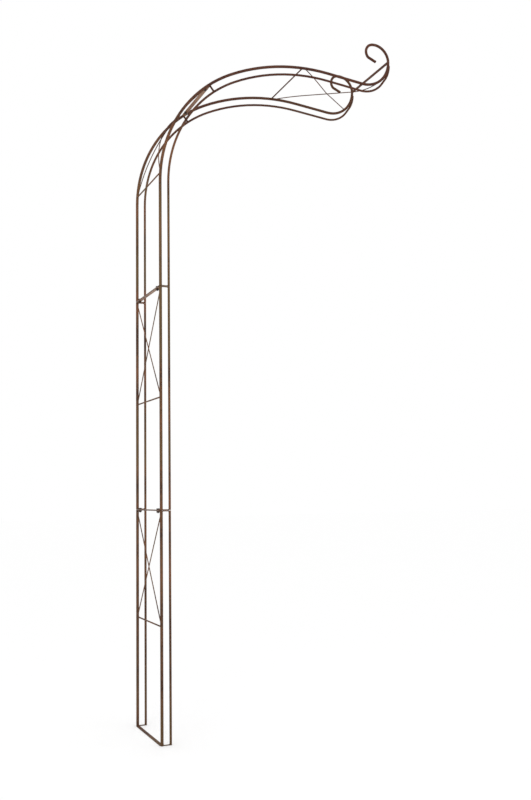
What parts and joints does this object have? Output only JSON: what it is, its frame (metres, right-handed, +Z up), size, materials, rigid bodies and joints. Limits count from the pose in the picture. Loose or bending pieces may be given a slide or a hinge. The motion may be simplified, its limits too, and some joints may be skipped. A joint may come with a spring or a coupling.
{
  "type": "rose arch",
  "caption": "Free-ended half rose arch: twin side frames of parallel round rods, bolted in sections, with wire crosses and scrolled ends.",
  "frame": {"origin": "centre of the foot bar's underside, on the ground, midway between the two back rods", "axes": "+X the way the arch leans, from the back rods towards the scrolls; +Y towards the left side frame, seen from behind the arch; +Z up along the legs"},
  "size_m": [0.9258, 0.3, 2.5076],
  "materials": {
    "rust_brown_coat": "matt rust-brown powder coat",
    "dark_steel": "dark oiled steel"
  },
  "bodies": {
    "root": {"base_back_rod_left": "rust_brown_coat", "base_back_rod_right": "rust_brown_coat", "base_bottom_bar": "rust_brown_coat", "base_bottom_link_left": "rust_brown_coat", "base_bottom_link_right": "rust_brown_coat", "base_front_rod_left": "rust_brown_coat", "base_front_rod_right": "rust_brown_coat", "base_rail": "rust_brown_coat", "base_top_bar": "rust_brown_coat", "base_top_link_left": "rust_brown_coat", "base_top_link_right": "rust_brown_coat", "base_wire_cross": "rust_brown_coat", "crest_back_rod_left": "rust_brown_coat", "crest_back_rod_right": "rust_brown_coat", "crest_bottom_bar": "rust_brown_coat", "crest_bottom_link_left": "rust_brown_coat", "crest_bottom_link_right": "rust_brown_coat", "crest_end_bar": "rust_brown_coat", "crest_front_rod_left": "rust_brown_coat", "crest_front_rod_right": "rust_brown_coat", "crest_joint_bolt_left": "dark_steel", "crest_joint_bolt_right": "dark_steel", "crest_joint_nut_left": "dark_steel", "crest_joint_nut_right": "dark_steel", "crest_rail": "rust_brown_coat", "crest_wire_cross": "rust_brown_coat", "leg_joint_bolt_left": "dark_steel", "leg_joint_bolt_right": "dark_steel", "leg_joint_nut_left": "dark_steel", "leg_joint_nut_right": "dark_steel", "middle_back_rod_left": "rust_brown_coat", "middle_back_rod_right": "rust_brown_coat", "middle_bottom_bar": "rust_brown_coat", "middle_bottom_link_left": "rust_brown_coat", "middle_bottom_link_right": "rust_brown_coat", "middle_front_rod_left": "rust_brown_coat", "middle_front_rod_right": "rust_brown_coat", "middle_rail": "rust_brown_coat", "middle_top_bar": "rust_brown_coat", "middle_top_link_left": "rust_brown_coat", "middle_top_link_right": "rust_brown_coat", "middle_wire_cross": "rust_brown_coat", "spring_back_rod_left": "rust_brown_coat", "spring_back_rod_right": "rust_brown_coat", "spring_bottom_bar": "rust_brown_coat", "spring_bottom_link_left": "rust_brown_coat", "spring_bottom_link_right": "rust_brown_coat", "spring_front_rod_left": "rust_brown_coat", "spring_front_rod_right": "rust_brown_coat", "spring_joint_bolt_left": "dark_steel", "spring_joint_bolt_right": "dark_steel", "spring_joint_nut_left": "dark_steel", "spring_joint_nut_right": "dark_steel", "spring_rail": "rust_brown_coat", "spring_top_bar": "rust_brown_coat", "spring_top_link_left": "rust_brown_coat", "spring_top_link_right": "rust_brown_coat", "spring_wire_cross": "rust_brown_coat"}
  },
  "joints": []
}
